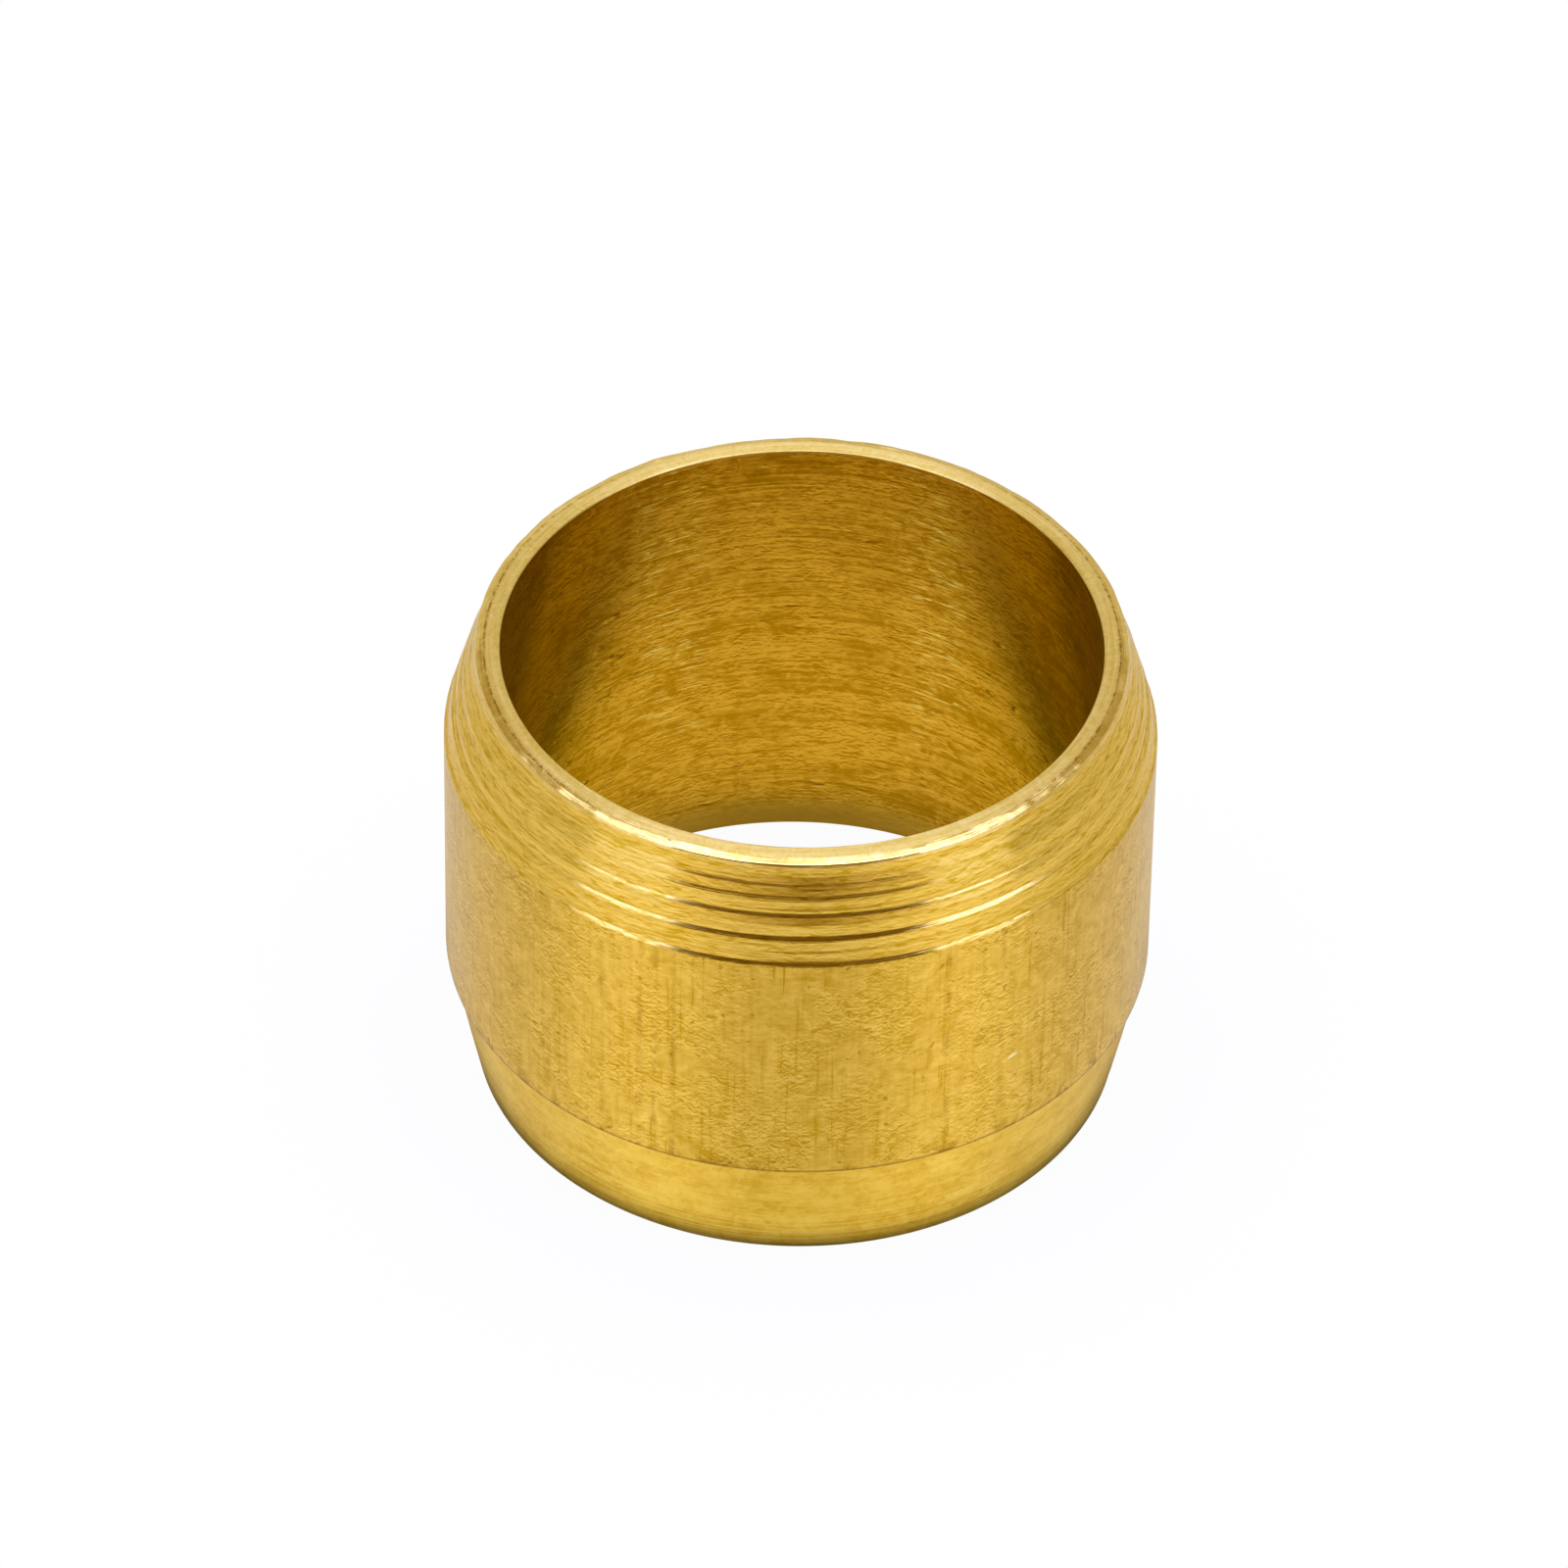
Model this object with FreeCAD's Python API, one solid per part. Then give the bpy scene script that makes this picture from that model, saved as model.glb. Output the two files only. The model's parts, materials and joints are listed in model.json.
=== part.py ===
"""Compression olive for 10 mm pipe: one turned brass ring, in millimetres.

The ring stands on its tail end, with its axis on +Z and the origin at the centre of that end.
The lead cone is at the top. All of it is one turned section, swept once round the axis.
"""

import FreeCAD, Part
import math
import os

# Driving dimensions
PIPE_DIAMETER = 10.0
PIPE_CLEARANCE = 0.05  # gap between the pipe and the bore, all round
WALL = 0.95  # from the bore to the barrel
LENGTH = 8.67  # tail face to rim face

LEAD_LENGTH = 1.82  # rim face down to the barrel's upper edge
RIM_FLAT = 0.27  # width of the flat rim face
RIM_LAND = 0.12  # width of the sloping land outside that face
RIM_LAND_DROP = 0.04  # how far the land falls over its width
RIM_EDGE = 0.04  # rounding from the land into the lead cone, across
RIM_EDGE_DROP = 0.08  # rounding from the land into the lead cone, down

TAIL_LENGTH = 2.20  # tail face up to the barrel's lower edge
TAIL_CROWN = 0.01  # how far the tail's side bulges from a straight cone
TAIL_SHOULDER = 0.08  # step from the tail's side out to the barrel
TAIL_FACE = 0.14  # width of the flat tail face
TAIL_EDGE = 0.07  # rounding from the tail face into the tail's side

COUNTERSINK_WIDTH = 0.24  # opening of the bore at the tail face
COUNTERSINK_DEPTH = 0.30

# Tool steps down the lead cone. Each corner has its share of the way from the rim to the barrel,
# and how far it stands out from the straight cone (a corner below the cone is negative).
LEAD_STEPS = (
    (0.10, -0.030),
    (0.33, 0.019),
    (0.40, -0.010),
    (0.57, 0.014),
    (0.69, -0.025),
    (0.73, 0.010),
    (0.96, -0.033),
)

# Radii and heights that follow from the driving dimensions
bore_radius = PIPE_DIAMETER / 2 + PIPE_CLEARANCE
barrel_radius = bore_radius + WALL
barrel_top = LENGTH - LEAD_LENGTH

rim_flat_radius = bore_radius + RIM_FLAT
rim_land_radius = rim_flat_radius + RIM_LAND
rim_land_height = LENGTH - RIM_LAND_DROP
lead_top_radius = rim_land_radius + RIM_EDGE
lead_top_height = rim_land_height - RIM_EDGE_DROP

countersink_radius = bore_radius + COUNTERSINK_WIDTH
tail_face_radius = countersink_radius + TAIL_FACE
tail_radius = tail_face_radius + TAIL_EDGE
shoulder_radius = barrel_radius - TAIL_SHOULDER


def spot(radius, height):
    """A point of the section, which lies in the XZ plane."""
    return FreeCAD.Vector(radius, 0, height)


def straight(start, end):
    return Part.LineSegment(start, end).toShape()


def chain(spots):
    """Straight edges through the spots, in order."""
    return [straight(start, end) for start, end in zip(spots, spots[1:])]


def quarter_round(start, end, corner):
    """A rounded edge from start to end that bulges towards the sharp corner."""
    centre = start + end - corner
    share = math.sqrt(0.5)
    middle = centre + (start - centre) * share + (end - centre) * share
    return Part.Arc(start, middle, end).toShape()


def crowned(start, end, crown):
    """A shallow arc from start to end that stands out from its chord by the crown."""
    along = end - start
    outward = FreeCAD.Vector(along.z, 0, -along.x).normalize()
    middle = (start + end) * 0.5 + outward * crown
    return Part.Arc(start, middle, end).toShape()


def tail_edges():
    """The tail, from the bore's countersink round the foot and up to the barrel."""
    face_end = spot(tail_face_radius, 0)
    side_start = spot(tail_radius, TAIL_EDGE)
    side_end = spot(shoulder_radius, TAIL_LENGTH)
    return [
        straight(spot(bore_radius, COUNTERSINK_DEPTH), spot(countersink_radius, 0)),
        straight(spot(countersink_radius, 0), face_end),
        quarter_round(face_end, side_start, spot(tail_radius, 0)),
        crowned(side_start, side_end, TAIL_CROWN),
        straight(side_end, spot(barrel_radius, TAIL_LENGTH)),
    ]


def barrel_edges():
    return [straight(spot(barrel_radius, TAIL_LENGTH), spot(barrel_radius, barrel_top))]


def lead_cone_edges():
    """The stepped lead cone, from the barrel up to the rim."""
    corners = [spot(lead_top_radius, lead_top_height)]
    for share, standing in LEAD_STEPS:
        radius = lead_top_radius + share * (barrel_radius - lead_top_radius) + standing
        height = lead_top_height + share * (barrel_top - lead_top_height)
        corners.append(spot(radius, height))
    corners.append(spot(barrel_radius, barrel_top))
    corners.reverse()
    return chain(corners)


def rim_edges():
    """The rim, from the top of the lead cone over to the bore."""
    lead_top = spot(lead_top_radius, lead_top_height)
    land_end = spot(rim_land_radius, rim_land_height)
    rounding = quarter_round(lead_top, land_end, spot(lead_top_radius, rim_land_height))
    return [rounding] + chain([land_end, spot(rim_flat_radius, LENGTH), spot(bore_radius, LENGTH)])


def bore_edges():
    return [straight(spot(bore_radius, LENGTH), spot(bore_radius, COUNTERSINK_DEPTH))]


def olive():
    """The whole ring: its section swept once round the axis."""
    section = tail_edges() + barrel_edges() + lead_cone_edges() + rim_edges() + bore_edges()
    face = Part.Face(Part.Wire(section))
    return face.revolve(FreeCAD.Vector(0, 0, 0), FreeCAD.Vector(0, 0, 1), 360)


os.makedirs("parts", exist_ok=True)
olive().exportStep("parts/olive.step")
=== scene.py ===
"""Looks of the brass compression olive: one turned ring, standing on its tail in soft studio light."""

from collections import namedtuple
import json
import math

import bpy
from mathutils import Matrix, Vector


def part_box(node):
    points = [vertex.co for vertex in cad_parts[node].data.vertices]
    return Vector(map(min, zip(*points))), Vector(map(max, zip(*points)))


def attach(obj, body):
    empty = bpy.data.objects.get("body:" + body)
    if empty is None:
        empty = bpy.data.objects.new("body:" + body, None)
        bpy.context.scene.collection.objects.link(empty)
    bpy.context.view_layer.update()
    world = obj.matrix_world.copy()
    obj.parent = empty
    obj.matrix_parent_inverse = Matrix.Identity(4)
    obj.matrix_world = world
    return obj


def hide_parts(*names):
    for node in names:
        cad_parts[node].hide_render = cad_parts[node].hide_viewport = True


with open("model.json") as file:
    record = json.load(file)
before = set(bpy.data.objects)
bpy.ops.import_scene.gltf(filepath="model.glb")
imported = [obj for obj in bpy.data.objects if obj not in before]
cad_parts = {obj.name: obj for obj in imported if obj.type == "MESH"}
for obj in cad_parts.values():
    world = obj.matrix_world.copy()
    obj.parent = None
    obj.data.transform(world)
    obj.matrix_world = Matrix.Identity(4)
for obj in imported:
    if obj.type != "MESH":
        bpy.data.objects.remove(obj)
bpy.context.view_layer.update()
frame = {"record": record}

MM = 0.001
MICRON = 0.000001

# Sizes that come with the part
part_low, part_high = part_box("olive")
BARREL_RADIUS = part_high.x
LENGTH = part_high.z
PIPE_BORE = next(mount for mount in frame["record"]["mounts"] if mount["name"] == "pipe_bore")
BORE_RADIUS = PIPE_BORE["dims"]["r_mm"] * MM

# Turned section of the ring, as the part has it
LEAD_LENGTH = 1.82 * MM
RIM_FLAT = 0.27 * MM
RIM_LAND = 0.12 * MM
RIM_LAND_DROP = 0.04 * MM
RIM_EDGE = 0.04 * MM
RIM_EDGE_DROP = 0.08 * MM
TAIL_LENGTH = 2.20 * MM
TAIL_CROWN = 0.01 * MM
TAIL_SHOULDER = 0.08 * MM
TAIL_FACE = 0.14 * MM
TAIL_EDGE = 0.07 * MM
COUNTERSINK_WIDTH = 0.24 * MM
COUNTERSINK_DEPTH = 0.30 * MM
# Tool steps down the lead cone: share of the way from rim to barrel, and how far out of the cone
LEAD_STEPS = (
    (0.10, -0.030 * MM),
    (0.33, 0.019 * MM),
    (0.40, -0.010 * MM),
    (0.57, 0.014 * MM),
    (0.69, -0.025 * MM),
    (0.73, 0.010 * MM),
    (0.96, -0.033 * MM),
)
# Fine grooves that the tool left between those steps: share of the way, and depth
LEAD_GROOVES = (
    (0.05, 0.006 * MM),
    (0.15, 0.007 * MM),
    (0.27, 0.009 * MM),
    (0.46, 0.018 * MM),
    (0.84, 0.005 * MM),
)
GROOVE_ABOVE = 0.04
GROOVE_BELOW = 0.032

BARREL_TOP = LENGTH - LEAD_LENGTH
RIM_FLAT_RADIUS = BORE_RADIUS + RIM_FLAT
RIM_LAND_RADIUS = RIM_FLAT_RADIUS + RIM_LAND
RIM_LAND_HEIGHT = LENGTH - RIM_LAND_DROP
LEAD_TOP_RADIUS = RIM_LAND_RADIUS + RIM_EDGE
LEAD_TOP_HEIGHT = RIM_LAND_HEIGHT - RIM_EDGE_DROP
COUNTERSINK_RADIUS = BORE_RADIUS + COUNTERSINK_WIDTH
TAIL_FACE_RADIUS = COUNTERSINK_RADIUS + TAIL_FACE
TAIL_RADIUS = TAIL_FACE_RADIUS + TAIL_EDGE

# Mesh of the ring: steps round it, and the height of a row of faces in each finish
TURN_STEPS = 560
ROW_HEIGHT = {
    "bore": 0.7 * MM,
    "rim": 0.05 * MM,
    "lead cone": 0.034 * MM,
    "barrel": 0.23 * MM,
    "tail": 0.075 * MM,
}
SHARP_CORNER = math.radians(12)
EDGE_BREAK = 0.008 * MM
MOUTH_BREAK = 0.03 * MM
BARREL_FOOT_BREAK = 0.05 * MM
SEAM_GAP = 0.0001 * MM
SHARP_ANGLE = math.radians(13)
MOUTH_SEGMENTS = 6
BARREL_FOOT_SEGMENTS = 7

# Lines that the drawing of the bar left up the barrel: bearings from the front, and width to each side
DRAW_LINES = tuple(math.radians(bearing) for bearing in (-32.6, -25.5, -22.9, -19.8, 24.8, 34.7))
DRAW_LINE_WIDTH = (math.radians(0.75), math.radians(0.15))

# Painted shade in the line along the rim flat's outer edge: width to each side, and how far out to the sides
# it comes in
RIM_EDGE_SHADE_WIDTH = (0.028 * MM, 0.008 * MM)
RIM_EDGE_SHADE_SIDES = (2.6 * MM, 4.2 * MM)

# Heights between which the tail's turning lines come out
TAIL_LINES = (1.1 * MM, 0.4 * MM)

# One nick in the barrel's side, shown only by a painted highlight
NICK_BEARING = math.radians(37.1)
NICK_HEIGHT = 3.85 * MM
NICK_LENGTH = 0.24 * MM
NICK_WIDTH = 0.075 * MM
NICK_RISE = 0.2
NICK_HIGHLIGHT_COLOUR = (1.0, 0.84, 0.42, 1)

# Glints painted on scratches in the bore, where they would catch the soft boxes: bearing from the back,
# spread, and the heights they come in between
GLINT_BEARING = math.radians(27)
GLINT_SPREAD = (math.radians(11), math.radians(3))
GLINT_RISE = (1.0 * MM, 4.0 * MM)
PAINTED_GLINT_COLOUR = (1.0, 0.72, 0.13, 1)

# Dark line and darkening along the barrel's foot, at its step in to the tail, painted as shade: the heights
# they come in between
BARREL_FOOT_PAINTED_LINE = (TAIL_LENGTH + 0.09 * MM, TAIL_LENGTH + 0.04 * MM)
BARREL_FOOT_PAINTED_SHADE = (TAIL_LENGTH + 0.30 * MM, TAIL_LENGTH + 0.05 * MM)

# Brass of each part of the ring: roughness, how far its shine is drawn out, tint at a low glance,
# plain colour, and how far its marks swing from that colour
WHITE = (1, 1, 1, 1)
Finish = namedtuple("Finish", "roughness grain glance colour swing")
BARREL_FINISH = Finish(0.25, 0.9, WHITE, (0.80, 0.486, 0.058), 0.24)
TAIL_FINISH = Finish(0.26, 0.92, (1, 0.97, 0.80, 1), (0.945, 0.582, 0.065), 0.19)
CONE_FINISH = Finish(0.15, 0.3, (1, 0.93, 0.72, 1), (0.82, 0.51, 0.070), 0.22)
RIM_FINISH = Finish(0.28, 0.9, WHITE, (0.90, 0.61, 0.145), 0.14)
# The bore's colour is darker and deeper than the rest of the brass, in part as painted shade of the bore
BORE_FINISH = Finish(0.24, 0.9, (1, 0.92, 0.42, 1), (0.685, 0.345, 0.0165), 0.24)
RIM_LAND_ROUGHNESS = 0.13
PIT_BROWN = (0.36, 0.18, 0.008, 1)
# How much more red, green and blue swing than the finish says
COLOUR_SWINGS = (0.95, 1.2, 3.6)
DEEPEST = 0.1
# How far a curl's dark side lies from its light side, in heights of a curl
CURL_SHIFT = (0, 0, -0.3)

# The duller brass at the bore's foot, and the lighter colour painted over it in place of light reflected
# there
BORE_FOOT_REACH = 0.5 * MM
BORE_FOOT_ROUGHNESS = 0.75
BORE_FOOT_PAINTED_SHARE = 0.95
BORE_FOOT_PAINTED_LIGHT = (0.97, 0.62, 0.06, 1)

# A colour painted on the bore for its reflections in itself, which sets the hue and depth of the shade on
# its side walls
BORE_PAINTED_REFLECTION = (0.64, 0.50, 0.06, 1)

# Camera, as the picture was taken: height above the table, distance, roll and place in the frame
PICTURE_SIDE = 1600
VIEW_ELEVATION = math.radians(41.95)
VIEW_DISTANCE = 192.06 * MM
VIEW_ROLL = math.radians(1.01)
VIEW_CENTRE = Vector((0, 0, 3.6 * MM))
CENTRE_PIXEL = (814.5, 888.6)
FOCAL_PIXELS = 11526.5
SENSOR_WIDTH = 36.0
NEAREST_SEEN = 0.01
FARTHEST_SEEN = 10

# Studio: where its parts lie, as bearings from the front and as heights, and how bright each is
FRONT_EDGE = math.radians(39.5)
FRONT_CENTRE = math.radians(4)
FRONT_SHIFT = math.radians(1.5)
BOX_EDGE = math.radians(66)
LEFT_BOX_HIGH_EDGE = math.radians(69)
RIGHT_BOX_HIGH_EDGE = math.radians(77)
EDGE_SOFTNESS = math.radians(3)
FRONT_LIFT = (math.sin(math.radians(3)), math.sin(math.radians(20)))
BOX_LIFT = (math.sin(math.radians(18)), math.sin(math.radians(24)))
BOX_TOP = (math.sin(math.radians(50)), math.sin(math.radians(42)))
TOP_RISE = (0.80, 0.90)
TOP_LEAN = 0.4
TOP_SPREAD = (0.05, 0.18)
STRIP_BACK = (0.31, 0.26)
STRIP_FRONT = (-0.25, -0.18)
STRIP_BOW = 0.55
STRIP_ENDS = (0.44, 0.34)
FRONT_MIDDLE = (0.39, 0.31, 0.14, 1)
FRONT_SIDE = (1.0, 0.97, 0.90, 1)
FRONT_HIGH = (0.17, 0.12, 0.025, 1)
BOX_LOW = (1.05, 1.12, 1.6, 1)
BOX_HIGH = (1.7, 2.0, 5.8, 1)
LEFT_SIDE = (0.70, 0.71, 0.69, 1)
RIGHT_SIDE = (0.65, 0.655, 0.64, 1)
OVERHEAD = (0.94, 1.02, 1.36, 1)
HIGH_SIDES = (0.44, 0.38, 0.24, 1)
STRIP = (2.4, 2.75, 5.4, 1)

# Table: its size, how bright it is to the eye and in the brass, and the shade round the ring's foot
FLOOR_RADIUS = 34 * MM
FLOOR_CORNERS = 96
FLOOR_COLOUR = (0.88, 0.88, 0.88, 1)
FLOOR_GLOW = 0.965
SHADOW_START = 7 * MM
SHADOW_END = 11 * MM
BRASS_GLOW = 0.775
POOL_GLOW = 0.235
POOL_RISE = (math.radians(8), math.radians(40))
POOL_FALL = (math.radians(42), math.radians(78))
POOL_LEFT = 0.08
POOL_NARROW = 1.6
FAR_TABLE = (13 * MM, 20 * MM)
FAR_SIDES = (math.radians(65), math.radians(95))
FAR_GLOW = 0.715
NEAR_FOOT = (10 * MM, 6 * MM)
NEAR_POOL = 0.45
FOOT_GLOW = 0.12
MOUTH_GLOW = 0.32
FOOT_SHADE_FRONT = 5.9 * MM
FOOT_SHADE_BACK = 9 * MM
FOOT_SHADE_TURN = (-3.6 * MM, 4.6 * MM)
BORE_GLOW = 0.83
BORE_SHADE = 0.09
BORE_SHADE_START = 3.5 * MM
BORE_SHADE_END = 4.85 * MM


def put(tree, kind, inputs=None, **settings):
    """Adds a node, sets it up, and feeds its inputs with numbers or with other nodes' sockets."""
    node = tree.nodes.new(kind)
    for name, value in settings.items():
        setattr(node, name, value)
    for key, value in (inputs or {}).items():
        if isinstance(value, bpy.types.NodeSocket):
            tree.links.new(value, node.inputs[key])
        else:
            node.inputs[key].default_value = value
    return node


def maths(tree, operation, first, second=0.0):
    return put(tree, "ShaderNodeMath", {0: first, 1: second}, operation=operation).outputs["Value"]


def product(tree, first, *others):
    """Multiplies masks with each other."""
    for other in others:
        first = maths(tree, "MULTIPLY", first, other)
    return first


def distance_from(tree, value, middle):
    return maths(tree, "ABSOLUTE", maths(tree, "SUBTRACT", value, middle))


def parts_of(tree, place):
    return put(tree, "ShaderNodeSeparateXYZ", {0: place}).outputs


def bearing_from_front(tree, parts):
    """Bearing round the axis from the front, positive to the right."""
    return maths(tree, "ARCTAN2", parts["X"], maths(tree, "MULTIPLY", parts["Y"], -1.0))


def ramp(tree, value, start, end, low=0.0, high=1.0, soft=False):
    """Carries a value from low at start to high at end, and no further."""
    kind = "SMOOTHSTEP" if soft else "LINEAR"
    inputs = {"Value": value, "From Min": start, "From Max": end, "To Min": low, "To Max": high}
    return put(tree, "ShaderNodeMapRange", inputs, interpolation_type=kind).outputs["Result"]


def blend_value(tree, mask, low, high):
    mix = put(tree, "ShaderNodeMix", {"Factor": mask, "A": low, "B": high}, data_type="FLOAT")
    return mix.outputs["Result"]


def blend_colour(tree, mask, first, second):
    mix = put(tree, "ShaderNodeMix", data_type="RGBA")
    for socket, value in ((mix.inputs[0], mask), (mix.inputs[6], first), (mix.inputs[7], second)):
        if isinstance(value, bpy.types.NodeSocket):
            tree.links.new(value, socket)
        else:
            socket.default_value = value
    return mix.outputs[2]


def noise(tree, place, detail, roughness, scale=1.0, distortion=0.0):
    inputs = {"Vector": place, "Scale": scale, "Detail": detail}
    inputs.update({"Roughness": roughness, "Distortion": distortion})
    return put(tree, "ShaderNodeTexNoise", inputs).outputs[0]


def deselect_everything():
    bpy.ops.object.select_all(action="DESELECT")


def radius_of(place):
    return math.hypot(place.x, place.y)


def finish_of(place):
    """Which finish the ring's surface has at a place."""
    radius = radius_of(place)
    in_countersink = place.z < COUNTERSINK_DEPTH and radius < COUNTERSINK_RADIUS
    if radius < BORE_RADIUS + EDGE_BREAK and place.z < LENGTH - MOUTH_BREAK or in_countersink:
        return "bore"
    if place.z > LEAD_TOP_HEIGHT:
        return "rim"
    if place.z > BARREL_TOP:
        return "lead cone"
    if place.z > TAIL_LENGTH:
        return "barrel"
    return "tail"


# The ring's half section

def standing_at(share):
    """How far the stepped cone stands out of the straight one, at a share of the way down."""
    steps = ((0, 0), *LEAD_STEPS, (1, 0))
    for (above, first), (below, second) in zip(steps, steps[1:]):
        if share <= below:
            return first + (second - first) * (share - above) / (below - above)


def lead_cone_corners():
    """Corners of the stepped and grooved lead cone as (radius, height), from the barrel up to the rim."""
    steps = [(0, 0), *LEAD_STEPS, (1, 0)]
    for share, depth in LEAD_GROOVES:
        steps.append((share, standing_at(share) - depth))
        for side in (share - GROOVE_ABOVE, share + GROOVE_BELOW):
            steps.append((side, standing_at(side)))
    steps.sort(reverse=True)
    corners = []
    for share, standing in steps:
        radius = LEAD_TOP_RADIUS + share * (BARREL_RADIUS - LEAD_TOP_RADIUS) + standing
        corners.append((radius, LEAD_TOP_HEIGHT + share * (BARREL_TOP - LEAD_TOP_HEIGHT)))
    return corners


def section_corners():
    """Corners of the half section as (radius, height), round from the countersink to the bore's mouth."""
    corners = [(BORE_RADIUS, COUNTERSINK_DEPTH), (COUNTERSINK_RADIUS, 0), (TAIL_FACE_RADIUS, 0)]
    foot_steps = 7
    for step in range(1, foot_steps + 1):
        angle = math.pi / 2 * step / foot_steps
        radius = TAIL_FACE_RADIUS + TAIL_EDGE * math.sin(angle)
        corners.append((radius, TAIL_EDGE * (1 - math.cos(angle))))
    tail_steps = 6
    tail_rise = TAIL_LENGTH - TAIL_EDGE
    tail_spread = BARREL_RADIUS - TAIL_SHOULDER - TAIL_RADIUS
    for step in range(1, tail_steps + 1):
        share = step / tail_steps
        bulge = 4 * TAIL_CROWN * share * (1 - share)
        corners.append((TAIL_RADIUS + tail_spread * share + bulge, TAIL_EDGE + tail_rise * share))
    corners.append((BARREL_RADIUS, TAIL_LENGTH))
    corners += lead_cone_corners()
    edge_steps = 6
    for step in range(1, edge_steps + 1):
        angle = math.pi / 2 * step / edge_steps
        radius = RIM_LAND_RADIUS + RIM_EDGE * math.cos(angle)
        corners.append((radius, LEAD_TOP_HEIGHT + RIM_EDGE_DROP * math.sin(angle)))
    corners.append((RIM_FLAT_RADIUS, LENGTH))
    corners.append((BORE_RADIUS, LENGTH))
    return corners


def draw_section(corners):
    """Draws the half section by pulling one point from corner to corner, then closes it."""
    deselect_everything()
    start = Vector((corners[0][0], 0, corners[0][1]))
    bpy.ops.mesh.primitive_plane_add(size=MM, location=start)
    ring = bpy.context.object
    ring.name = "olive_ring"
    bpy.ops.object.transform_apply(location=True, rotation=True, scale=True)
    bpy.ops.object.mode_set(mode="EDIT")
    bpy.ops.mesh.select_mode(type="VERT")
    bpy.ops.mesh.select_all(action="SELECT")
    bpy.ops.mesh.merge(type="CENTER")
    for (radius, height), (next_radius, next_height) in zip(corners, corners[1:]):
        pull = (next_radius - radius, 0, next_height - height)
        bpy.ops.mesh.extrude_region_move(TRANSFORM_OT_translate={"value": pull})
    last = len(corners) - 1
    pick_points(ring, lambda point: point.index in (0, last))
    bpy.ops.mesh.edge_face_add()
    bpy.ops.object.mode_set(mode="OBJECT")
    return ring


def pick_points(ring, wanted):
    """Selects the wanted points of the ring and nothing else, and leaves it in edit mode."""
    bpy.ops.object.mode_set(mode="EDIT")
    bpy.ops.mesh.select_mode(type="VERT")
    bpy.ops.mesh.select_all(action="DESELECT")
    bpy.ops.object.mode_set(mode="OBJECT")
    for point in ring.data.vertices:
        point.select = wanted(point)
    bpy.ops.object.mode_set(mode="EDIT")


def pick_edge(ring, middle):
    """Selects the one edge of the section with that middle, and leaves the ring in edit mode."""
    bpy.ops.object.mode_set(mode="EDIT")
    bpy.ops.mesh.select_mode(type="EDGE")
    bpy.ops.mesh.select_all(action="DESELECT")
    bpy.ops.object.mode_set(mode="OBJECT")
    points = ring.data.vertices
    nearest = min(ring.data.edges, key=lambda edge: (edge_middle(points, edge) - middle).length)
    nearest.select = True
    bpy.ops.object.mode_set(mode="EDIT")


def edge_middle(points, edge):
    first, second = edge.vertices
    return (points[first].co + points[second].co) / 2


def sharp_points(ring):
    """Numbers of the section's points where it turns sharply."""
    neighbours = {point.index: [] for point in ring.data.vertices}
    for edge in ring.data.edges:
        first, second = edge.vertices
        neighbours[first].append(second)
        neighbours[second].append(first)
    sharp = []
    for index, (before, after) in neighbours.items():
        here = ring.data.vertices[index].co
        arriving = here - ring.data.vertices[before].co
        leaving = ring.data.vertices[after].co - here
        if arriving.angle(leaving) > SHARP_CORNER:
            sharp.append(index)
    return sharp


def break_corners(ring):
    """Breaks the section's sharp corners: most at the barrel's lower edge, then at the bore's mouth."""
    sharp = sharp_points(ring)
    mouth = Vector((BORE_RADIUS, 0, LENGTH))
    barrel_foot = Vector((BARREL_RADIUS, 0, TAIL_LENGTH))

    def is_at(point, spot):
        return (point.co - spot).length < EDGE_BREAK

    def is_other(point):
        return point.index in sharp and not is_at(point, mouth) and not is_at(point, barrel_foot)

    pick_points(ring, is_other)
    bpy.ops.mesh.bevel(offset=EDGE_BREAK, segments=1, affect="VERTICES", clamp_overlap=True)
    pick_points(ring, lambda point: is_at(point, mouth))
    bpy.ops.mesh.bevel(offset=MOUTH_BREAK, segments=MOUTH_SEGMENTS, affect="VERTICES", clamp_overlap=True)
    pick_points(ring, lambda point: is_at(point, barrel_foot))
    bpy.ops.mesh.bevel(offset=BARREL_FOOT_BREAK, segments=BARREL_FOOT_SEGMENTS, affect="VERTICES",
                       clamp_overlap=True)
    bpy.ops.object.mode_set(mode="OBJECT")


def refine_section(ring):
    """Cuts each stretch of the section into rows as low as its finish needs."""
    points = ring.data.vertices
    stretches = []
    for edge in ring.data.edges:
        first, second = edge.vertices
        stretches.append((edge_middle(points, edge), (points[first].co - points[second].co).length))
    for middle, length in stretches:
        cuts = round(length / ROW_HEIGHT[finish_of(middle)]) - 1
        if cuts > 0:
            pick_edge(ring, middle)
            bpy.ops.mesh.subdivide(number_cuts=cuts)
    bpy.ops.object.mode_set(mode="OBJECT")


def turn_section(ring):
    """Turns the half section once round the axis and closes the seam."""
    turn = ring.modifiers.new("turn", "SCREW")
    turn.axis = "Z"
    turn.angle = 2 * math.pi
    turn.screw_offset = 0
    turn.steps = TURN_STEPS
    turn.render_steps = TURN_STEPS
    turn.use_merge_vertices = True
    turn.merge_threshold = SEAM_GAP
    bpy.ops.object.modifier_apply(modifier=turn.name)
    bpy.ops.object.mode_set(mode="EDIT")
    bpy.ops.mesh.select_all(action="SELECT")
    bpy.ops.mesh.remove_doubles(threshold=SEAM_GAP)
    bpy.ops.mesh.normals_make_consistent(inside=False)
    bpy.ops.object.mode_set(mode="OBJECT")


# Marks of the tool in the ring's surface

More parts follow.
